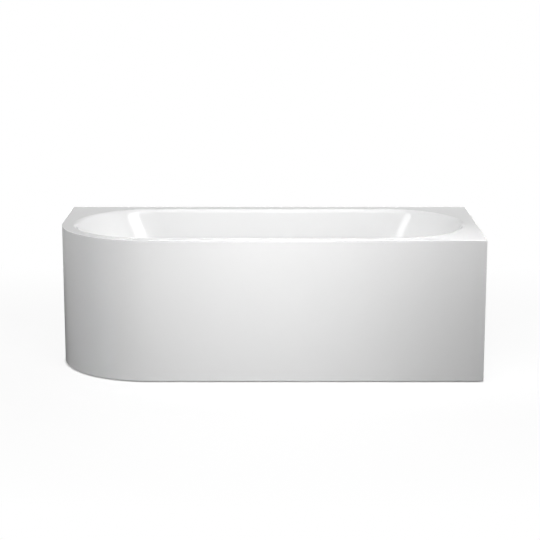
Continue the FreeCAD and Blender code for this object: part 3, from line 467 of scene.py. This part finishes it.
def bowlTree():
    inputs = {title: "Float" for title in bowl}
    inputs.update({"Behind": "Float", "Margin": "Float", "Finish": "Material"})
    tree, wire = geometryTree("bowlForm", inputs)
    start = Wire(tree)
    rowCount = 2 + sum(bowlRows.values())
    columnCount = 2 * sum(bowlColumns.values())
    grid = unitGrid(start, columnCount + 1, rowCount)
    place = start.node("GeometryNodeInputPosition")
    across = start.node("ShaderNodeSeparateXYZ", None, {0: place}, 0) + 0.5
    down = start.node("ShaderNodeSeparateXYZ", None, {0: place}, 1) + 0.5
    row = down * (rowCount - 1)
    depth, roll, behind = wire["Depth"], wire["Roll Radius"], wire["Behind"]
    backLean, backFoot = wire["Backrest Lean"], wire["Backrest Foot"]
    sideLean, sideFoot = wire["Side Lean"], wire["Side Foot"]

    def inset(level, lean, foot):
        sine, cosine = lean.math("SINE"), lean.math("COSINE")
        slope = sine / cosine
        inner = roll - behind
        rollEnd = roll - inner * sine
        footStart = depth - foot + (foot + behind) * sine
        straight = depth - (foot + roll) * (1 - sine)
        centre = (roll + foot) * cosine + straight * slope
        drop = roll - level
        inRoll = (inner * inner - drop * drop).math("MAXIMUM", 0.0).math("SQRT")
        inWall = inner * cosine + (level - rollEnd) * slope
        rise = level - depth + foot
        reach = foot + behind
        inFoot = centre - (reach * reach - rise * rise).math("MAXIMUM", 0.0).math("SQRT")
        return (level < rollEnd).pick(inRoll, (level < footStart).pick(inWall, inFoot))

    def stage(first, title):  # 0 to 1 over the rows of one stage
        return ((row - first) / bowlRows[title]).share()

    wallFirst = 1 + bowlRows["roll"]
    footFirst = wallFirst + bowlRows["wall"]
    floorFirst = footFirst + bowlRows["foot"]
    right = math.pi / 2
    sideSine, backSine = sideLean.math("SINE"), backLean.math("SINE")
    rollEnd = roll - (roll - behind) * sideSine
    sideStart = depth - sideFoot + (sideFoot + behind) * sideSine
    backStart = depth - backFoot + (backFoot + behind) * backSine
    footStart = sideStart.math("MINIMUM", backStart)
    level = behind + (rollEnd - behind) * (1 - (stage(1, "roll") * right).math("COSINE"))
    level = level + (footStart - rollEnd) * stage(wallFirst, "wall")
    level = level + (depth + behind - footStart) * (stage(footFirst, "foot") * right).math("SINE")
    margin = wire["Margin"] * (1 - row).share()
    halfX = wire["Half Length"] - inset(level, backLean, backFoot) + margin
    halfY = wire["Half Width"] - inset(level, sideLean, sideFoot) + margin
    arc = bowlColumns["arc"] / columnCount
    flat = bowlColumns["straight"] / columnCount
    turn = ((across / arc).share() + ((across - 0.5) / arc).share() - 0.5) * math.pi
    run = 1 - 2 * ((across - arc) / flat).share() + 2 * ((across - 0.5 - arc) / flat).share()
    width = halfY * (1 - stage(floorFirst, "floor"))
    x = run * (halfX - halfY) + width * turn.math("COSINE")
    y = width * turn.math("SINE")
    spot = start.node("ShaderNodeCombineXYZ", None, {0: x, 1: y, 2: wire["Height"] - level})
    closeGrid(grid, spot, wire["Finish"])
    return tree


def boundaryAt(shape, test):
    edges = [edge for edge in shape.edges if edge.is_boundary]
    return [edge for edge in edges if all(test(vertex.co) for vertex in edge.verts)]


def shellMesh(shape, name):  # a shell with gloss in its first slot and the dry side in its second
    mesh = bpy.data.meshes.new(name)
    mesh.materials.append(finishes["white_acrylic"])
    mesh.materials.append(finishes["glass_fibre"])
    openEdges = sum(edge.is_boundary for edge in shape.edges)
    print(name + ":", len(shape.faces), "faces,", openEdges, "open edges")
    shape.to_mesh(mesh)
    shape.free()
    return mesh


rimEdge = {
    "radius": 0.002, "steps": 8, "lip": 0.005,
    "wallLip": 0.022, "lipLeft": -0.810, "lipFront": -0.335, "lipStep": 0.0001,
}


def tubShell():
    high, under = bath["height"], bath["height"] - bath["shellWall"]
    radius, lip, lipEnd = rimEdge["radius"], rimEdge["lip"], bath["apronTop"]
    left, front, step = rimEdge["lipLeft"], rimEdge["lipFront"], rimEdge["lipStep"]
    extras = [
        (2, (bathX, front - step, 0)), (2, (bathX, front, 0)),
        (3, (left, bathY, 0)), (3, (left - step, bathY, 0)),
    ]
    columns = footprint(extras)
    columns.append(columns[0])
    lowered = []
    for column in columns:  # the lip reaches lower along both walls
        straight = column.radius == 0
        onRight = column.side == 2 and straight and column.corner.y >= front
        onBack = column.side == 3 and (not straight or column.corner.x >= left)
        lowered.append(1.0 if onRight or onBack else 0.0)
    profile = [(radius + deckMargin, high, 0.0)]
    profile += quarter((radius, high - radius), radius, 90, 180, rimEdge["steps"])
    profile += [(0.0, lipEnd, 1.0), (lip, lipEnd, 1.0)]
    profile += [(lip, under, 0.0), (lip + deckMargin, under, 0.0)]
    gloss, fibre = finishes["white_acrylic"], finishes["glass_fibre"]
    rim = swept(columns, profile, gloss, rimEdge["wallLip"], lowered)
    tree = bowlTree()
    empty = bpy.data.meshes.new("empty")
    sizes = dict(bowl, Margin=deckMargin)
    wet = grown(tree, empty, dict(sizes, Behind=0.0, Finish=gloss))
    dry = grown(tree, empty, dict(sizes, Behind=bath["shellWall"], Finish=fibre))
    shape = bmesh.new()
    for mesh, slot in ((rim, 0), (wet, 0), (dry, 1)):
        known = set(shape.faces)
        shape.from_mesh(mesh)
        for face in set(shape.faces) - known:
            face.material_index = slot
    for level, slot in ((high, 0), (under, 1)):  # the deck and its underside close the gaps
        edges = boundaryAt(shape, lambda spot: abs(spot.z - level) < closeBy)
        fill = bmesh.ops.triangle_fill(shape, edges=edges, normal=(0, 0, 1))
        for item in fill["geom"]:
            if isinstance(item, bmesh.types.BMFace):
                item.material_index = slot
    bmesh.ops.remove_doubles(shape, verts=shape.verts, dist=closeBy / 2)
    bmesh.ops.recalc_face_normals(shape, faces=shape.faces)
    return shellMesh(shape, "tub shell")


apronForm = {
    "foot": 0.005, "wall": 0.005, "flange": 0.030, "edge": 0.002, "edgeSteps": 6, "return": 0.030,
    "splits": (-0.2, 0.1, 0.4), "dryInset": 0.0055, "testReach": 0.001,
}


def apronPanel():
    low, top, bend = apronForm["foot"], bath["apronTop"], bath["roundCorner"]
    wall, flange, edge = apronForm["wall"], apronForm["flange"], apronForm["edge"]
    back, right = Vector((0, 1, 0)), Vector((1, 0, 0))
    backEnd = Vector((apronForm["return"] - bathX, bathY, 0))
    rightEnd = Vector((bathX, apronForm["return"] - bathY, 0))
    around = footprint([(1, (x, -bathY, 0)) for x in apronForm["splits"]])
    columns = [Column(backEnd, back, back, 0.0, 3)]
    columns += [column for column in around if column.side < 3]
    columns.append(Column(rightEnd, right, right, 0.0, 2))
    inner = [
        (flange, low), (flange, low + wall), (wall, low + wall),
        (wall, top - wall), (flange, top - wall), (flange, top), (0.0, top),
    ]
    profile = [(0.0, top, 0.0)]
    profile += quarter((edge, low + edge), edge, 180, 270, apronForm["edgeSteps"])
    profile += [(inset, height, 0.0) for inset, height in inner]
    shape = bmesh.new()
    shape.from_mesh(swept(columns, profile, finishes["white_acrylic"]))
    for test in (lambda spot: spot.y > 0, lambda spot: spot.y < 0):  # both ends are closed
        bmesh.ops.triangle_fill(shape, edges=boundaryAt(shape, test))
    bmesh.ops.recalc_face_normals(shape, faces=shape.faces)
    dry = apronForm["dryInset"]
    for face in shape.faces:  # a face that looks inwards is on the dry side
        spot = face.calc_center_median() + face.normal * apronForm["testReach"]
        inside = abs(spot.x) < bathX - dry and abs(spot.y) < bathY - dry
        away = Vector((spot.x + bathX - bend, spot.y + bathY - bend))
        if away.x < 0 and away.y < 0:
            inside = away.length < bend - dry
        face.material_index = 1 if inside else 0
    return shellMesh(shape, "apron")


drillSides = 64


def withHoles(mesh, holes, wall=0.0):  # round holes through a shell, which a wall makes hollow first
    block = placed("block", mesh)
    if wall:
        skin = block.modifiers.new("wall", "SOLIDIFY")
        skin.thickness = wall
        skin.offset = -1.0
    drills = []
    for centre, axis, radius, reach in holes:
        shape = bmesh.new()
        bmesh.ops.create_cone(
            shape, cap_ends=True, segments=drillSides, radius1=radius, radius2=radius, depth=reach)
        turn = Vector((0, 0, 1)).rotation_difference(Vector(axis)).to_matrix()
        bmesh.ops.rotate(shape, verts=shape.verts, cent=(0, 0, 0), matrix=turn)
        bmesh.ops.translate(shape, verts=shape.verts, vec=centre)
        drill = bpy.data.meshes.new("drill")
        shape.to_mesh(drill)
        shape.free()
        drill.materials.append(mesh.materials[0])
        drills.append(placed("drill", drill))
        cut = block.modifiers.new("hole", "BOOLEAN")
        cut.operation = "DIFFERENCE"
        cut.solver = "EXACT"
        cut.object = drills[-1]
    cutMesh = settled(block)
    for item in drills + [block]:
        bpy.data.objects.remove(item)
    return cutMesh


waste = {"place": (0.0, -0.080, 0.170), "axis": (0, 0, 1), "radius": 0.027, "reach": 0.03}
overflow = {
    "place": (0.0, -0.30025, 0.493), "axis": (0.0, 0.992546, 0.121869),
    "radius": 0.027, "reach": 0.03,
}
tubHoles = [tuple(waste.values()), tuple(overflow.values())]
tubMesh = withHoles(tubShell(), tubHoles)
pieceFrom(tubMesh, "bathTub", "bath", ["tub_shell"])
pieceFrom(apronPanel(), "apronPanel", "bath", ["apron"])


# turned pieces: a profile of radius and height spun round, six-sided or threaded where its rows say so

turnedSides = 6
ridgeShare = {"root": 0.15, "flank": 0.7}  # of half the thread's pitch


def turnedTree():
    tree, wire = geometryTree("turnedForm", {
        "Columns": "Int", "Rows": "Int", "Across": "Float", "Pitch": "Float", "Depth": "Float",
        "Finish": "Material"})
    start = Wire(tree)
    grid, column, row = gridPlaces(start, wire["Columns"] + 1, wire["Rows"])
    share = column / wire["Columns"]
    radius = sampled(wire["Guide"], "radius", "FLOAT", row)
    height = sampled(wire["Guide"], "height", "FLOAT", row)
    sided = sampled(wire["Guide"], "sided", "FLOAT", row)
    threaded = sampled(wire["Guide"], "threaded", "FLOAT", row)
    facet = ((share * turnedSides).math("FRACT") - 0.5) * (2 * math.pi / turnedSides)
    flat = wire["Across"] / 2 / facet.math("COSINE")
    radius = sided.pick(radius.math("MINIMUM", flat), radius)
    ridge = ((height / wire["Pitch"] - share).math("FRACT") * 2 - 1).math("ABSOLUTE")
    groove = ((ridge - ridgeShare["root"]) / ridgeShare["flank"]).share()
    radius = radius - threaded * wire["Depth"] * groove
    turn = share * (2 * math.pi)
    x, y = radius * turn.math("COSINE"), radius * turn.math("SINE")
    spot = start.node("ShaderNodeCombineXYZ", None, {0: x, 1: y, 2: height})
    closeGrid(grid, spot, wire["Finish"])
    return tree


turnedForm = turnedTree()


def turned(profile, finish, columns, across=1.0, pitch=1.0, depth=0.0):
    guide = profileMesh(profile, ("radius", "height", "sided", "threaded"))
    values = {"Columns": columns, "Rows": len(profile), "Across": across, "Pitch": pitch}
    return facedOut(grown(turnedForm, guide, dict(values, Depth=depth, Finish=finish)))


stud = {
    "radius": 0.006, "pitch": 0.00175, "depth": 0.0009, "chamfer": 0.0013, "rowsPerTurn": 6,
    "across": 0.019, "collarLow": 0.015, "collarHigh": 0.021, "collarEdge": 0.0007,
    "edgeShare": 0.515, "cornerShare": 0.6, "columns": 36, "crease": 30,
}


def studProfile(low, high):
    radius, chamfer, edge = stud["radius"], stud["chamfer"], stud["collarEdge"]
    bottom, top = stud["collarLow"], stud["collarHigh"]
    worn, full = stud["across"] * stud["edgeShare"], stud["across"] * stud["cornerShare"]
    rows = [(0.0, low, 0, 0), (radius - chamfer, low, 0, 0)]
    rows += [(radius, low + chamfer, 0, 0), (radius, bottom, 0, 0)]
    rows += [(worn, bottom, 1, 0), (full, bottom + edge, 1, 0)]
    rows += [(full, top - edge, 1, 0), (worn, top, 1, 0), (radius, top, 0, 0)]
    first, last, turn = top + edge, high - chamfer, stud["rowsPerTurn"]
    count = int((last - first) / stud["pitch"] * turn)
    for k in range(count + 1):  # the thread runs out over one turn at both ends
        threaded = min(1.0, k / turn, (count - k) / turn)
        rows.append((radius, first + (last - first) * k / count, 0, threaded))
    return rows + [(radius - chamfer, high, 0, 0), (0.0, high, 0, 0)]


studTitles = [title for title in sorted(nodes) if title.startswith("foot_stud_")]
for title in studTitles:
    low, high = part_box(title)
    mesh = turned(
        studProfile(low.z, high.z), finishes["zinc_steel"], stud["columns"],
        stud["across"], stud["pitch"], stud["depth"])
    mesh.transform(Matrix.Translation(((low.x + high.x) / 2, (low.y + high.y) / 2, 0)))
    name = "stud" + title[len("foot_stud_"):].title().replace("_", "")
    pieceFrom(mesh, name, title.replace("stud_", ""), [title], stud["crease"])


# cradle: rolled square tubes with round corners, their end caps and the weld beads between them

tube = {
    "corner": 0.003, "wall": 0.002, "steps": 5, "capPlate": 0.003, "crease": 30,
    "studHole": 0.0065, "holeReach": 0.01,
}
longRails = ["long_rail_front", "long_rail_back"]
crossRails = ["cross_rail_left", "cross_rail_middle", "cross_rail_right"]
uprights = ["rim_post_left_back", "rim_post_right_back", "rim_post_right_front"]


def tubeTree():
    tree, wire = geometryTree("roundedTube", {
        "Width": "Float", "Corner": "Float", "Steps": "Int", "Closed": "Bool", "Finish": "Material"})
    start = Wire(tree)
    path = start.node("GeometryNodeMeshToCurve", None, {"Mesh": wire["Guide"]})
    sides = {"Width": wire["Width"], "Height": wire["Width"]}
    square = start.node("GeometryNodeCurvePrimitiveQuadrilateral", None, sides)
    bends = {"Curve": square, "Radius": wire["Corner"], "Count": wire["Steps"]}
    section = start.node("GeometryNodeFilletCurve", {"mode": "POLY"}, bends)
    values = {"Curve": path, "Profile Curve": section, "Fill Caps": wire["Closed"]}
    closeTree(start.node("GeometryNodeCurveToMesh", None, values), wire["Finish"])
    return tree


roundedTube = tubeTree()


def tubeAlong(first, last, width, finish, closed):
    guide = bpy.data.meshes.new("path")
    guide.from_pydata([tuple(first), tuple(last)], [(0, 1)], [])
    values = {"Width": width, "Corner": tube["corner"], "Steps": tube["steps"]}
    return facedOut(grown(roundedTube, guide, dict(values, Closed=closed, Finish=finish)))


def tubeEnds(title):  # middles of both ends and the width
    low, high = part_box(title)
    size = high - low
    k = max(range(3), key=lambda axis: size[axis])
    first, last = (low + high) / 2, (low + high) / 2
    first[k], last[k] = low[k], high[k]
    return first, last, size[k - 1]


def studHoles(first, width):  # holes for the studs in the underside of a cross rail
    found = []
    for low, high in [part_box(title) for title in studTitles]:
        spot = Vector(((low.x + high.x) / 2, (low.y + high.y) / 2, first.z - width / 2))
        if abs(spot.x - first.x) < width / 2:
            found.append((spot, (0, 0, 1), tube["studHole"], tube["holeReach"]))
    return found


def tubePieces():
    capSlot = slotOf["tube_end_caps"]
    caps = bmesh.new()
    for title in longRails + crossRails + uprights:
        first, last, width = tubeEnds(title)
        drills = studHoles(first, width) if title in crossRails else []
        bare = tubeAlong(first, last, width, finishes[slotOf[title]], False)
        mesh = withHoles(bare, drills, tube["wall"])
        words = title.title().replace("_", "")
        name = words[0].lower() + words[1:]
        pieceFrom(mesh, name, "bath", [title], tube["crease"])
        if title not in uprights:
            plate = (last - first).normalized() * tube["capPlate"]
            for end, outer in ((first, first - plate), (last, last + plate)):
                caps.from_mesh(tubeAlong(end, outer, width, finishes[capSlot], True))
    mesh = bpy.data.meshes.new("caps")
    caps.to_mesh(mesh)
    caps.free()
    mesh.materials.append(finishes[capSlot])
    pieceFrom(mesh, "tubeEndCaps", "bath", ["tube_end_caps"], tube["crease"])


def scatterTree():
    tree, wire = geometryTree("scattered", {"Shape": "Object", "Finish": "Material"})
    start = Wire(tree)
    kind = {"data_type": "FLOAT_VECTOR"}
    along = start.node("GeometryNodeInputNamedAttribute", kind, {"Name": "along"})
    turn = start.node("FunctionNodeAlignRotationToVector", {"axis": "Z"}, {"Vector": along})
    shape = start.node("GeometryNodeObjectInfo", None, {"Object": wire["Shape"]}, "Geometry")
    spread = {"Points": wire["Guide"], "Instance": shape, "Rotation": turn}
    closeTree(start.node("GeometryNodeInstanceOnPoints", None, spread), wire["Finish"])
    return tree


bead = {
    "length": 0.022, "radius": 0.0021, "ripple": 0.0016, "lift": 0.0006, "rows": 56, "columns": 10,
    "valley": 0.80, "swell": 0.20, "bluntness": 8, "crease": 50,
}


def weldBeads():
    rows = []
    for k in range(bead["rows"] + 1):
        share = k / bead["rows"]
        wave = abs(math.sin(math.pi * share * bead["length"] / bead["ripple"]))
        ends = math.sqrt(max(0.0, 1 - abs(2 * share - 1) ** bead["bluntness"]))
        ripple = bead["valley"] + bead["swell"] * wave
        rows.append((bead["radius"] * ripple * ends, bead["length"] * (share - 0.5), 0, 0))
    bar = placed("bar", turned(rows, finishes["grey_paint"], bead["columns"]))
    x, y = Vector((1, 0, 0)), Vector((0, 1, 0))
    spots, ways = [], []
    for crossing in crossRails:  # along both sides of a long rail, on top of the cross rail
        low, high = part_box(crossing)
        for title in longRails:
            first, _, width = tubeEnds(title)
            for side in (-1, 1):
                edge = first.y + side * width / 2
                spots.append(((low.x + high.x) / 2, edge, high.z + bead["lift"]))
                ways.append(x)
    for title in uprights:  # round three sides of an upright's foot
        first, _, width = tubeEnds(title)
        half, inward = width / 2, -1 if first.y > 0 else 1
        for shift, way in ((x * half, y), (x * -half, y), (y * half * inward, x)):
            spots.append(first + shift + Vector((0, 0, bead["lift"])))
            ways.append(way)
    guide = pointMesh("weldLines", spots, None, {"along": ways})
    mesh = grown(scatterTree(), guide, {"Shape": bar, "Finish": finishes["grey_paint"]})
    bpy.data.objects.remove(bar)
    pieceFrom(facedOut(mesh), "weldBeads", "bath", (), bead["crease"])


tubePieces()
weldBeads()


# every CAD node that still shows gets its finish

for title, node in nodes.items():
    node.data.materials.clear()
    node.data.materials.append(finishes[slotOf[title]])
print("finishes on", len(nodes), "nodes")


# studio

studio = {
    "pale": 0.90, "bounce": 0.20, "fill": 0.05, "mirrored": 0.63, "floorMirrored": 0.35,
    "horizon": 40.0,
}
# the floor's glow share below the bath, what adds to it outside the outline, and over which distances:
# the low share under and close to the bath is painted shade on top of the real shadow that the matt
# part shows, and the mirrored span paints a contact shadow into reflections of the floor
floorGlowWithPaintedShade = {"under": 0.2, "near": 0.68, "far": 0.12}
floorSpans = {"near": (-0.002, 0.006), "far": (0.1, 1.4), "mirrored": (0.1, 1.6)}


def seenRays(start):  # 1 for what the camera sees, and 1 for what a gloss surface sees
    seen = start.node("ShaderNodeLightPath", None, None, "Is Camera Ray")
    through = start.node("ShaderNodeLightPath", None, None, "Is Transmission Ray")
    gloss = start.node("ShaderNodeLightPath", None, None, "Is Glossy Ray")
    return seen.math("MAXIMUM", through), gloss


def outlineDistance(start):  # how far a place on the floor lies outside the bath's outline
    place = start.node("ShaderNodeTexCoord", None, None, "Object")
    x = start.node("ShaderNodeSeparateXYZ", None, {0: place}, 0)
    y = start.node("ShaderNodeSeparateXYZ", None, {0: place}, 1)
    inX = (x + bathX - bath["roundCorner"]).math("MINIMUM", 0.0)
    inY = (y + bathY - bath["roundCorner"]).math("MINIMUM", 0.0)
    away = (inX * inX + inY * inY).math("SQRT") - bath["roundCorner"]
    return away.math("MAXIMUM", x - bathX).math("MAXIMUM", y - bathY)


def studioFloor():
    made = bpy.data.materials.new("studio floor")
    start = freshTree(made)
    seen, gloss = seenRays(start)
    away = outlineDistance(start)
    # the glow share is low under the bath and rises outside its outline: painted shade below and close
    # by, partly the real shadow of the matt part showing through
    white = floorGlowWithPaintedShade["under"]  # so a shadow stays below and close by
    for title in ("near", "far"):
        white = white + ramped(away, *floorSpans[title]) * floorGlowWithPaintedShade[title]
    both = seen.math("MAXIMUM", gloss)
    tone = mixed(both, grey(studio["bounce"]), grey(studio["pale"]))
    matt = start.node("ShaderNodeBsdfDiffuse", None, {"Color": tone})
    # in reflections the floor glows less the nearer it lies to the bath: a painted contact shadow
    mirrored = studio["floorMirrored"] * ramped(away, *floorSpans["mirrored"])
    glow = {"Color": grey(1.0), "Strength": gloss.pick(mirrored, 1.0)}
    lit = start.node("ShaderNodeEmission", None, glow)
    surface = start.node("ShaderNodeMixShader", None, {0: both * white, 1: matt, 2: lit})
    start.node("ShaderNodeOutputMaterial", None, {"Surface": surface})
    reach = studio["horizon"]
    corners = [(-reach, -reach, 0), (reach, -reach, 0), (reach, reach, 0), (-reach, reach, 0)]
    mesh = bpy.data.meshes.new("studioFloor")
    mesh.from_pydata(corners, [], [(0, 1, 2, 3)])
    mesh.materials.append(made)
    floor = placed("studioFloor", mesh)


def studioWorld():
    scene.world = bpy.data.worlds.new("studio")
    start = freshTree(scene.world)
    seen, gloss = seenRays(start)
    strength = seen.pick(1.0, gloss.pick(studio["mirrored"], studio["fill"]))
    back = start.node("ShaderNodeBackground", None, {"Color": grey(1.0), "Strength": strength})
    start.node("ShaderNodeOutputWorld", None, {"Surface": back})


def softbox(name, place, aim, size, power, spread=180, mirrored=True):
    lamp = bpy.data.lights.new(name, "AREA")
    lamp.shape = "RECTANGLE"
    lamp.size, lamp.size_y = size
    lamp.energy = power
    lamp.spread = math.radians(spread)
    box = placed(name, lamp)
    box.location = place
    box.rotation_euler = (Vector(aim) - Vector(place)).to_track_quat("-Z", "Y").to_euler()
    box.visible_camera = False
    box.visible_glossy = mirrored


lamps = [  # name, place, aim, size, power, spread in degrees, seen in gloss
    ("frontSpot", (-0.20, -3.5, 1.6), (-0.15, -0.375, 0.30), (1.0, 1.0), 2.05, 50, False),
    ("lowSpot", (-0.05, -3.5, 1.2), (-0.05, -0.375, 0.12), (0.8, 0.6), 1.46, 36, False),
    ("nearBox", (0.16, -1.3, 1.5), (0.16, -0.3, 0.5), (1.2, 0.4), 13.2),
    ("edgeBox", (0.25, -0.50, 2.2), (0.25, -0.36, 0.57), (1.8, 0.15), 1.3, 26, False),
    ("rollBox", (0.0, 0.4, 2.4), (0.0, 0.30, 0.57), (2.4, 0.5), 1.7, 40),
    ("leftStrip", (-2.64, -3.39, 2.15), (0.573, 0.28, 0.5), (1.15, 0.8), 1.2, 60),
    ("rightStrip", (2.28, -3.31, 2.0), (-0.56, 0.28, 0.5), (1.56, 0.8), 2.56, 60),
    ("leftHighBox", (-3.2, -0.2, 1.5), (0.6, 0.1, 0.5), (1.2, 0.9), 32.0, 180, False),
    ("rightBox", (3.2, 0.1, 1.40), (-0.6, 0.1, 0.5), (1.8, 1.0), 54.0, 180, False),
    ("backTopBox", (0.0, 2.4, 2.8), (0.0, -0.1, 0.4), (2.0, 1.0), 6.5),
    ("backRollBox", (0.0, 3.0, 0.82), (0.0, 0.0, 0.6), (3.4, 0.42), 1.85),
    ("backBox", (0.0, 3.0, 0.32), (0.0, 0.0, 0.30), (2.8, 0.40), 30.0),
    ("leftBackBox", (-2.2, 2.6, 0.32), (-0.8, 0.2, 0.30), (0.8, 0.40), 8.0, 180, False),
]
studioFloor()
studioWorld()
for lamp in lamps:
    softbox(*lamp)

view = {
    "place": (0.002, -6.598, 1.816), "tilt": 77.69,
    "sensor": 36.0, "lens": 108.73, "shift": (0.0004, -0.0008),
}
lens = bpy.data.cameras.new("photoView")
lens.sensor_width = view["sensor"]
lens.lens = view["lens"]
lens.shift_x, lens.shift_y = view["shift"]
camera = placed("photoView", lens)
camera.location = view["place"]
camera.rotation_euler = (math.radians(view["tilt"]), 0, 0)
scene.camera = camera
scene.view_settings.view_transform = "Standard"
print("studio: lamps", len(lamps))
